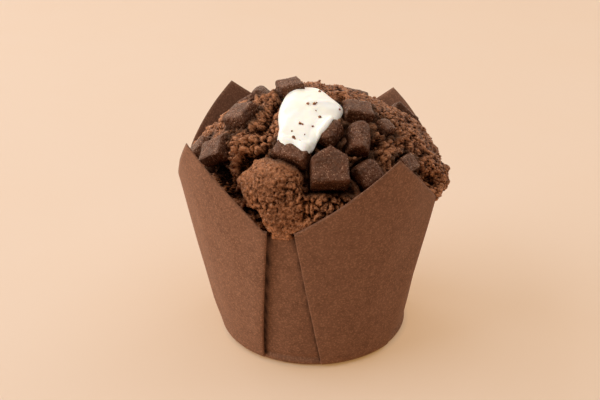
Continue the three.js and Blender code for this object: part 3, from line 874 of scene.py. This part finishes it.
def crust_share(points):
    """How smooth the crust is: 1 where a lump rose whole, falling off as a flat-topped bell
    curve, and 0 where the crumb broke open."""
    share = np.zeros(len(points))
    for azimuth, at, width in SMOOTH_CRUST:
        gap = np.sum((points - dome_spot(azimuth, at)) ** 2, -1)
        share = np.maximum(share, np.exp(-((gap / width**2) ** 2)))
    return share


def crumb_relief(points):
    """Height of the baked surface: rolling noise, ragged ridges (one minus the size of a
    noise), grains that stand up from scattered seeds, pits of uneven size and, where the
    crumb tore, cracks between rounded lumps. A smooth crust keeps the rolling noise whole and
    a small share of the rest."""
    open_crumb = 1.0 - 0.85 * crust_share(points)
    warp = np.stack([smooth_noise(points, 2.8, 20 + k) for k in range(3)], -1)
    bent = points + 0.9 * warp
    torn = smoothstep(smooth_noise(points, 7.0, 77), -0.1, 0.6)
    rolling = 0.7 * layered_noise(points, 8.0, 2, 3)
    ragged = 0.0
    for size, share, seed in ((6.5, 0.8, 33), (3.0, 0.45, 34), (1.4, 0.3, 35)):
        ragged = ragged + share * (0.6 - np.abs(2.2 * smooth_noise(bent, size, seed)))
    middle, second, _ = cells(bent, 2.6, 43)
    lumps = (0.7 * (0.5 - middle) - 1.1 * smoothstep(0.22 - (second - middle), 0.0, 0.22)) * torn
    small, _, small_label = cells(points + 0.3 * warp, 1.0, 61)
    grains = 0.34 * (0.5 - small) * (0.3 + 1.0 * small_label)
    pits = 0.0
    for size, depth, seed in ((2.3, 1.0, 51), (1.3, 0.7, 52), (0.9, 0.5, 53)):
        pit, _, label = cells(bent, size, seed)
        pits = pits - depth * smoothstep(lerp(0.1, 0.44, label**2) - pit, 0.0, 0.22) * (label > 0.3)
    fine = grains + pits + 0.25 * layered_noise(points, 0.9, 2, 71)
    return rolling + open_crumb * (ragged + lumps) + (0.2 + 0.8 * open_crumb) * fine


def build_cake(look, size):
    """The crumb. A disc-shaped grid follows the dome's outline, and is then swollen,
    blistered, cracked, pitted and fitted round the chunks and inside the paper."""
    steps = CRUMB_STEPS
    share, angle = round_square(steps)
    radius, height, walked = profile_walk()
    r = np.interp(share, walked, radius).ravel()
    z = np.interp(share, walked, height).ravel()
    smooth = swollen(polar(np.degrees(angle.ravel()), r, z))
    away = outward(smooth)
    points = smooth.copy()
    on_top = smoothstep(points[:, 2], 46.0, 50.0)
    for azimuth, at, width, swell in BLISTERS:
        gap = np.sum((points - dome_spot(azimuth, at)) ** 2, -1)
        points += away * (swell * np.exp(-gap / width**2))[:, None]
    wander = np.stack([smooth_noise(points, 2.6, 31 + k) for k in range(3)], -1)
    for first, last, width, depth in CREVICES:
        gap = segment_gap(points + 0.8 * wander, dome_spot(*first), dome_spot(*last))
        points -= away * (depth * np.exp(-((gap / width) ** 2)))[:, None]
    planes = [node_planes(name) for name in CHUNKS]
    gap = chunk_gap(points, planes)
    lip = 0.7 * np.exp(-(((gap - 1.8) / 1.0) ** 2)) * (0.3 + smooth_noise(points, 2.4, 81))
    moat = -1.5 * np.exp(-((gap / 1.0) ** 2)) * (0.6 + 0.6 * smooth_noise(points, 3.0, 85))
    points += away * ((size.crumb_relief * crumb_relief(points) + lip + moat) * on_top)[:, None]
    roam = 0.35 + 0.4 * (1 + smooth_noise(points, 1.8, 91))
    points = sunk_into_chunks(points, -away, planes, roam)
    points = under_icing(points)
    azimuth = np.arctan2(points[:, 1], points[:, 0])
    reach = np.hypot(points[:, 0], points[:, 1])
    keep = np.minimum(1.0, case_room(azimuth, points[:, 2]) / np.maximum(reach, 1e-6))
    points[:, :2] *= keep[:, None]
    # Painted shade and light: the crumb attribute is each point's height above the mean of its near and
    # wider neighbours, which the material paints dark in hollows and light on raised crumb.
    rise = np.sum((points - smooth) * away, -1).reshape(steps, steps)
    detail = (rise - blurred(rise, 3)).ravel()
    broad = (rise - blurred(rise, 14)).ravel()
    crumb = 0.5 + 0.9 * np.clip(detail, -0.6, 0.5) + 0.24 * np.clip(broad, -3.5, 1.0)
    piece = new_piece("cake_crumb", *closed_cake(points, steps), cake_material(look))
    extra = len(piece.data.vertices) - len(crumb)
    add_attribute(piece, "crumb", np.concatenate([np.clip(crumb, 0, 1), np.full(extra, 0.3)]))
    add_attribute(piece, "crust", np.concatenate([crust_share(smooth), np.zeros(extra)]))
    # Painted shade round the chunks, over a melt stain.
    add_attribute(piece, "melt_and_shade", np.concatenate([np.exp(-((gap / 2.6) ** 2)), np.zeros(extra)]))
    return piece


def closed_cake(points, steps):
    """Closes the crumb's grid: a wall runs from its rim down inside the case to a floor."""
    index = np.arange(steps * steps).reshape(steps, steps)
    rim = np.concatenate([index[0, :-1], index[:-1, -1], index[-1, :0:-1], index[:0:-1, 0]])
    azimuth = np.degrees(np.arctan2(points[rim, 1], points[rim, 0]))
    inside = 2 * LAYER_STEP + CAD_PAPER + 0.3
    rings = []
    for height in CAKE_RINGS:
        radius = BASE_RADIUS + height * math.tan(WALL_LEAN) - inside - (2.0 if height < 2 else 0.0)
        rings.append(polar(azimuth, radius, height))
    floor = np.array([[0.0, 0.0, CAKE_RINGS[-1]]])
    count, first = len(rim), steps * steps
    loops = [rim] + [first + k * count + np.arange(count) for k in range(len(rings))]
    faces = [grid_faces(steps, steps)]
    for high, low in zip(loops[:-1], loops[1:]):
        faces.append(np.stack([high, low, np.roll(low, -1), np.roll(high, -1)], -1))
    closing = fan(first + len(rings) * count, np.roll(loops[-1], -1), loops[-1])
    faces = np.concatenate(faces).tolist() + closing.tolist()
    return np.concatenate([points, *rings, floor]), faces


# ------------------------------------------------------------------ chunks


def soft_body(normal, away, directions, sharpness):
    """A convex body with soft edges. Along each direction the flat faces would be met at
    away / (normal . direction); the distance used is a soft minimum of those, their power sum
    with a negative power, which rounds the edges where two faces come near each other."""
    facing = np.maximum(directions @ normal.T, 0.0) / away
    return 1.0 / np.sum(facing**sharpness, axis=1) ** (1.0 / sharpness)


def build_chunk(name, number, material):
    """A chocolate chunk on its CAD node's faces: soft edges, uneven cut faces and pits."""
    normal, away, middle = node_planes(name)
    directions, faces = cube_ball(CHUNK_STEPS)
    reach = soft_body(normal, away, directions, WORN_EDGE if name in WORN_CHUNKS else CRISP_EDGE)
    points = directions * reach[:, None]
    seed = 100 + 7 * number
    uneven = 0.22 * layered_noise(points, 3.4, 2, seed)
    uneven = uneven + 0.09 * layered_noise(points, 0.9, 2, seed + 3)
    near, _, label = cells(points, 1.3, seed + 5)
    pits = -0.22 * smoothstep(0.3 - near, 0.0, 0.25) * (label > 0.55)
    points += directions * (uneven + pits)[:, None]
    return new_piece(name + "_finish", points + middle, faces, material)


# ------------------------------------------------------------------ icing and crumbs

# The puddle's outline seen from above, anticlockwise from its back, in millimetres.
ICING_OUTLINE = np.array([
    (-4.5, 4.8), (-7.0, 0.8), (-8.5, -4.2), (-9.4, -9.0), (-9.6, -13.0), (-9.3, -17.0),
    (-9.8, -20.0), (-9.8, -22.5), (-9.0, -24.6), (-7.4, -25.8), (-5.6, -26.2), (-4.4, -27.0),
    (-3.6, -27.9), (-2.4, -28.4), (-1.0, -27.6), (-0.1, -25.8), (1.2, -24.0), (3.2, -22.4),
    (4.6, -20.4), (6.2, -17.8), (7.4, -14.5), (8.9, -10.5), (8.9, -8.0), (7.0, -5.0),
    (5.5, -2.3), (3.9, 1.2), (2.0, 4.4), (-1.4, 5.2),
])
ICING_MIDDLE = np.array([-1.2, -11.5])


def loop_through(points, count):
    """A smooth closed curve through points: on each stretch, the cubic whose slopes at its
    ends are half the line between the neighbours."""
    t = np.linspace(0, len(points), count, endpoint=False)
    k = t.astype(int)
    u = (t - k)[:, None]
    p0, p1, p2, p3 = (points[(k + s) % len(points)] for s in (-1, 0, 1, 2))
    square = 2 * p0 - 5 * p1 + 4 * p2 - p3
    return 0.5 * (2 * p1 + (p2 - p0) * u + square * u**2 + (3 * p1 - p0 - 3 * p2 + p3) * u**3)


def plan_height(x, y):
    """Height of the swollen dome over a spot in plan, in three tries that each correct the
    one before."""
    radius = np.hypot(x, y)
    azimuth = np.degrees(np.arctan2(y, x))
    wanted, used = radius, radius.copy()
    for _ in range(3):
        spot = swollen(polar(azimuth, used, dome_height(used)))
        used = used + wanted - np.hypot(spot[..., 0], spot[..., 1])
    return spot[..., 2]


def chunk_top(x, y, planes):
    """Height of a chunk's upper faces over a spot in plan: the lowest of its rising faces."""
    normal, away, middle = planes
    up = normal[:, 2] > 0.12
    n, d = normal[up], away[up]
    flat = (x - middle[0])[..., None] * n[:, 0] + (y - middle[1])[..., None] * n[:, 1]
    return ((d - flat) / n[:, 2]).min(-1) + middle[2]


def icing_base(x, y):
    """What the icing lies on: the dome, or a chunk where one stands higher, and nowhere lower
    than the mean of eight spots round it, because icing bridges the steps."""
    planes = [node_planes(name) for name in ("chunk_under_icing", "baton_by_icing")]

    def highest(aside, ahead):
        base = plan_height(x + aside, y + ahead)
        for faces in planes:
            base = np.maximum(base, chunk_top(x + aside, y + ahead, faces))
        return base

    turns = np.radians(np.arange(0, 360, 45))
    ring = [(ICING_BRIDGE * math.cos(turn), ICING_BRIDGE * math.sin(turn)) for turn in turns]
    around = sum(highest(*spot) for spot in ring) / len(ring)
    return np.maximum(highest(0.0, 0.0), around)


def icing_share(x, y):
    """How far out a spot lies in the puddle, 0 in its middle and 1 on its outline."""
    outline = loop_through(ICING_OUTLINE, 360) - ICING_MIDDLE
    angle = np.arctan2(outline[:, 1], outline[:, 0])
    order = np.argsort(angle)
    reach = np.hypot(*outline.T)[order]
    spot = np.arctan2(y - ICING_MIDDLE[1], x - ICING_MIDDLE[0])
    limit = np.interp(spot, angle[order], reach, period=2 * math.pi)
    return np.hypot(x - ICING_MIDDLE[0], y - ICING_MIDDLE[1]) / limit


def under_icing(points):
    """Lowers the crumb under the icing, so that it stays inside it."""
    share = icing_share(points[:, 0], points[:, 1])
    covered = smoothstep(share, 0.98, 0.86) * (points[:, 2] > 60)
    lowered = points.copy()
    under = np.minimum(points[:, 2], plan_height(points[:, 0], points[:, 1]) - 0.2)
    lowered[:, 2] = lerp(points[:, 2], under, covered)
    return lowered


def icing_top(x, y, size):
    """Height of the icing: a bead that rises steeply from its edge and is flat on top, with
    soft waves and one low ridge across it."""
    share = icing_share(x, y)
    base = icing_base(x, y)
    spots = np.stack([x, y, np.zeros_like(x)], -1)
    body = size.icing / MM * np.sqrt(np.clip(1 - np.clip(share, 0, 1) ** 5, 0, 1))
    waves = 0.3 * smooth_noise(spots, 5.0, 7) + 0.12 * smooth_noise(spots, 2.2, 8)
    ridge = 0.35 * np.exp(-(((y + 9.5 - 0.12 * x) / 0.9) ** 2)) * smoothstep(x, -4.0, 0.0)
    bead = body * (1 + 0.35 * waves)
    return base - 0.35 + bead + (ridge + 0.3 * waves) * (share < 0.9) * (1 - share**4)


def build_icing(look, size):
    """The puddle: rings of its outline shrink to the middle, over the top and back below."""
    around = ICING_AROUND
    outline = loop_through(ICING_OUTLINE, around)
    share = np.sin(np.linspace(0.02, math.pi / 2, ICING_RINGS))[:, None, None]
    plan = ICING_MIDDLE + (outline - ICING_MIDDLE) * share
    top = np.concatenate([plan, icing_top(plan[..., 0], plan[..., 1], size)[..., None]], -1)
    low = np.linspace(0.98, 0.1, 8)[:, None, None]
    under = ICING_MIDDLE + (outline - ICING_MIDDLE) * low
    drop = icing_base(under[..., 0], under[..., 1]) - 0.9
    bottom = np.concatenate([under, drop[..., None]], -1)
    grid = np.concatenate([top, bottom])
    rows = len(grid)
    ends = np.array([[*ICING_MIDDLE, top[0, :, 2].mean()], [*ICING_MIDDLE, drop[-1].mean()]])
    c, after, total = np.arange(around), (np.arange(around) + 1) % around, rows * around
    last = total - around
    fans = np.concatenate([fan(total, after, c), fan(total + 1, last + c, last + after)])
    faces = grid_faces(rows, around, True).tolist() + fans.tolist()
    points = np.concatenate([grid.reshape(-1, 3), ends])
    return new_piece("icing_puddle", points, turned_outwards(points, faces), icing_material(look))


def turned_outwards(points, faces):
    """Reverses every face if the body they close is inside out, from its signed volume."""
    volume = 0.0
    for corners in (3, 4):
        same = np.array([f for f in faces if len(f) == corners])
        for k in range(1, corners - 1):
            a, b, c = (points[same[:, j]] for j in (0, k, k + 1))
            volume += np.sum(a * np.cross(b, c))
    return faces if volume > 0 else [face[::-1] for face in faces]


def crumb_ball(seed):
    """A crumb a few dozen faces fine, knobbly, about one millimetre across."""
    directions, faces = cube_ball(3)
    reach = 0.5 * (1 + 0.5 * smooth_noise(directions * 3 + seed, 1.3, seed))
    return directions * reach[:, None], faces


# Crumbs that fell on the icing: plan place and width in millimetres.
ICING_CRUMBS = (
    (-1.0, -10.5, 0.9), (0.8, -10.6, 1.0), (1.5, -10.2, 0.5), (2.2, -16.2, 0.9),
    (-3.4, -18.4, 1.0), (-2.7, -18.9, 0.6), (0.1, -19.8, 0.7), (-5.7, -20.6, 0.6),
    (-5.3, -23.3, 1.0), (-4.9, -24.0, 0.6), (2.6, -2.2, 0.8), (8.0, -10.9, 0.6),
    (-3.6, -25.0, 0.7), (-2.2, -22.4, 0.4), (1.2, -13.6, 0.4),
)


def build_crumbs(size, cake):
    """Loose crumbs: the ones on the icing, and a scatter over the dome and its chunks."""
    plan = np.array(ICING_CRUMBS)
    heights = icing_top(plan[:, 0], plan[:, 1], size) + 0.05
    on_icing = np.column_stack([plan[:, :2], heights])
    random = np.random.default_rng(12)
    points = points_of(cake.data)
    high = points[(points[:, 2] > 56) & (icing_share(points[:, 0], points[:, 1]) > 1.05)]
    picked = high[random.integers(0, len(high), SCATTERED_CRUMBS)]
    picked = picked + outward(picked) * 0.12
    widths = 0.35 + 0.75 * random.random(SCATTERED_CRUMBS) ** 2
    spots = np.concatenate([on_icing, picked])
    parts = []
    for k, (spot, width) in enumerate(zip(spots, np.concatenate([plan[:, 2], widths]))):
        points, faces = crumb_ball(200 + k)
        parts.append((points * width + spot, faces))
    piece = new_piece("loose_crumbs", *join_meshes(parts), cake.data.materials[0])
    # Painted light: loose crumbs get the level of raised, lit crumb.
    add_attribute(piece, "crumb", np.full(len(piece.data.vertices), 0.85))
    add_attribute(piece, "crust", np.zeros(len(piece.data.vertices)))
    return piece


# ------------------------------------------------------------------ settings


def colour(name, text, value):
    """A colour setting."""
    return FloatVectorProperty(
        name=name, description=text, default=value, subtype="COLOR", size=3, min=0, max=1
    )


def thickness(name, text, millimetres):
    """A length setting."""
    return FloatProperty(name=name, description=text, default=millimetres * MM, unit="LENGTH")


class MuffinLook(PropertyGroup):
    """Colours of the muffin and its stage."""

    paper_light: colour("Paper Light", "Lighter fibres of the paper", (0.28, 0.132, 0.075))
    paper_dark: colour("Paper Dark", "Darker mottling of the paper", (0.15, 0.066, 0.036))
    paper_grain: colour("Paper Grain", "Light grain of the paper", (0.46, 0.225, 0.125))
    paper_fold_shade: colour("Paper Fold Shade", "Beside the folds", (0.03, 0.012, 0.006))
    crumb: colour("Crumb", "Body of the cake", (0.15, 0.046, 0.016))
    crumb_warm: colour("Crumb Warm", "Redder parts of the cake", (0.27, 0.082, 0.024))
    crumb_raised_lit: colour("Crumb Raised Lit", "Painted light on the raised grains of the crumb", (0.68, 0.27, 0.115))
    crumb_melt_and_shade: colour("Crumb Melt And Shade", "Crumb stained by melted chocolate and darkened with painted shade round the chunks", (0.026, 0.008, 0.003))
    crumb_pore_shade: colour("Crumb Pore Shade", "Painted shade inside the pores and hollows", (0.006, 0.0015, 0.0005))
    crust: colour("Crust", "Smooth baked crust", (0.27, 0.095, 0.036))
    chocolate: colour("Chocolate", "Chunk faces", (0.048, 0.014, 0.005))
    chocolate_worn: colour("Chocolate Worn", "Paler parts of the chunks", (0.125, 0.037, 0.014))
    sugar_and_painted_glint: colour("Sugar And Painted Glint", "Sugar specks and painted glints on the crumb and the chunks", (0.7, 0.42, 0.26))
    icing: colour("Icing", "Icing on top", (0.97, 0.94, 0.87))
    icing_cream_and_glow: colour("Icing Cream And Glow", "Icing where it pools, and its painted glow", (0.95, 0.89, 0.76))
    floor: colour("Floor", "Board the muffin stands on", (0.415, 0.405, 0.4))
    floor_glow: colour("Floor Glow", "Light through the board", (0.42, 0.22, 0.072))
    floor_far: colour("Floor Far Glow", "Light through the board far away", (0.8, 0.6, 0.45))


class MuffinSize(PropertyGroup):
    """Sizes a user may change."""

    paper: thickness("Paper", "Thickness of the paper", 0.22)
    icing: thickness("Icing", "Thickness of the icing", 2.3)
    crumb_relief: FloatProperty(
        name="Crumb Relief", description="Strength of the crumb's relief", default=1.0, min=0, max=2
    )


def fit_piece(piece, slot, *nodes):
    """Rides on the body and stands for CAD nodes, which it hides; the slot is not used."""
    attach(piece, "root")
    if nodes:
        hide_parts(*nodes)


class MUFFIN_OT_case(Operator):
    """Folds the paper case"""

    bl_idname = "muffin.case"
    bl_label = "Paper Case"

    def execute(self, context):
        scene = context.scene
        fit_piece(build_case(scene.muffin_look, scene.muffin_size), "paper", "paper_wrapper")
        return {"FINISHED"}


class MUFFIN_OT_cake(Operator):
    """Bakes the crumb and scatters its crumbs"""

    bl_idname = "muffin.cake"
    bl_label = "Cake"

    def execute(self, context):
        scene = context.scene
        cake = build_cake(scene.muffin_look, scene.muffin_size)
        fit_piece(cake, "cake", "cake")
        fit_piece(build_crumbs(scene.muffin_size, cake), "cake")
        return {"FINISHED"}


class MUFFIN_OT_chunks(Operator):
    """Presses in the chocolate chunks"""

    bl_idname = "muffin.chunks"
    bl_label = "Chocolate Chunks"

    def execute(self, context):
        material = chocolate_material(context.scene.muffin_look)
        for number, name in enumerate(CHUNKS):
            fit_piece(build_chunk(name, number, material), "chocolate", name)
        return {"FINISHED"}


class MUFFIN_OT_icing(Operator):
    """Spoons on the icing"""

    bl_idname = "muffin.icing"
    bl_label = "Icing"

    def execute(self, context):
        scene = context.scene
        fit_piece(build_icing(scene.muffin_look, scene.muffin_size), "icing", "white_icing")
        return {"FINISHED"}


# Soft panels: name, power in watts, place, the point it faces, width and colour, in metres.
DAYLIGHT = (1.0, 0.98, 0.97)
PANELS = (
    ("left_panel", 16.5, (-1.05, -0.02, 0.62), (0, 0, 0.04), 1.4, DAYLIGHT),
    ("right_panel", 4.0, (0.95, 0.5, 0.75), (0, 0, 0.04), 1.2, DAYLIGHT),
    ("top_panel", 7.0, (0.2, -0.15, 1.2), (0, 0, 0), 1.4, DAYLIGHT),
    ("back_panel", 3.4, (-0.75, 1.2, 0.8), (0, 0, 0.06), 0.6, (1.0, 0.97, 0.95)),
)


def add_panel(name, energy, place, target, size, tint):
    """A square area light that faces a point."""
    data = bpy.data.lights.new(name, "AREA")
    data.energy = energy
    data.color = tint
    data.size = size
    light = bpy.data.objects.new(name, data)
    bpy.context.scene.collection.objects.link(light)
    light.location = place
    light.rotation_euler = (Vector(target) - Vector(place)).to_track_quat("-Z", "Y").to_euler()


class MUFFIN_OT_stage(Operator):
    """Sets the floor, the light and the camera"""

    bl_idname = "muffin.stage"
    bl_label = "Stage"

    def execute(self, context):
        scene = context.scene
        # Seen from the side the floor runs flat, up a quarter circle of 0.9 m and then straight up.
        across = np.linspace(-3.0, 3.0, 7)
        sweep = np.linspace(0, math.pi / 2, 13)[1:]
        y = np.concatenate([[-3.0, 0.0, 1.2], 1.2 + 0.9 * np.sin(sweep), [2.1]])
        z = np.concatenate([[0.0, 0.0, 0.0], 0.9 * (1 - np.cos(sweep)), [3.0]])
        points = np.stack(np.broadcast_arrays(across, y[:, None], z[:, None]), -1).reshape(-1, 3)
        faces = grid_faces(len(y), len(across))
        floor = new_piece("floor", points / MM, faces, floor_material(scene.muffin_look))
        for panel in PANELS:
            add_panel(*panel)
        world = bpy.data.worlds.new("Studio")
        world.use_nodes = True
        sky = world.node_tree.nodes["Background"].inputs
        sky["Color"].default_value = (1.0, 0.8, 0.6, 1.0)
        sky["Strength"].default_value = 0.08
        scene.world = world
        scene.view_settings.view_transform = "Standard"
        self.add_camera(scene)
        return {"FINISHED"}

    def add_camera(self, scene):
        """A camera at the viewing angle: a distance and elevation from a point on the front
        side of the axis, with a slight roll."""
        elevation, roll, distance = math.radians(25.69), math.radians(-1.36), 0.2874
        target = Vector((-0.0039, 0.0, 0.04195))
        forward = Vector((0, math.cos(elevation), -math.sin(elevation)))
        right, up = Vector((1, 0, 0)), Vector((0, math.sin(elevation), math.cos(elevation)))
        side = right * math.cos(roll) + up * math.sin(roll)
        top = up * math.cos(roll) - right * math.sin(roll)
        data = bpy.data.cameras.new("camera")
        data.lens = 55.26
        data.sensor_width = 36.0
        data.clip_start = 0.01
        camera = bpy.data.objects.new("camera", data)
        turn = Matrix((side, top, -forward)).transposed().to_4x4()
        camera.matrix_world = Matrix.Translation(target - forward * distance) @ turn
        scene.collection.objects.link(camera)
        scene.camera = camera


class MUFFIN_PT_pieces(Panel):
    """Lists the pieces of the muffin"""

    bl_idname = "MUFFIN_PT_pieces"
    bl_label = "Muffin"
    bl_space_type = "VIEW_3D"
    bl_region_type = "UI"
    bl_category = "Muffin"

    def draw(self, context):
        layout = self.layout
        for group in (context.scene.muffin_size, context.scene.muffin_look):
            box = layout.box()
            for name in group.__annotations__:
                box.prop(group, name)
        for step in STEPS:
            layout.operator(step.bl_idname)


STEPS = (MUFFIN_OT_case, MUFFIN_OT_cake, MUFFIN_OT_chunks, MUFFIN_OT_icing, MUFFIN_OT_stage)
CLASSES = (MuffinLook, MuffinSize, *STEPS, MUFFIN_PT_pieces)


def register():
    """Adds the settings, operators and panel."""
    for item in CLASSES:
        bpy.utils.register_class(item)
    bpy.types.Scene.muffin_look = PointerProperty(type=MuffinLook)
    bpy.types.Scene.muffin_size = PointerProperty(type=MuffinSize)


def unregister():
    """Takes them away again."""
    del bpy.types.Scene.muffin_size
    del bpy.types.Scene.muffin_look
    for item in reversed(CLASSES):
        bpy.utils.unregister_class(item)


def main():
    register()
    bpy.ops.muffin.case()
    bpy.ops.muffin.cake()
    bpy.ops.muffin.chunks()
    bpy.ops.muffin.icing()
    bpy.ops.muffin.stage()


if __name__ == "__main__":
    main()
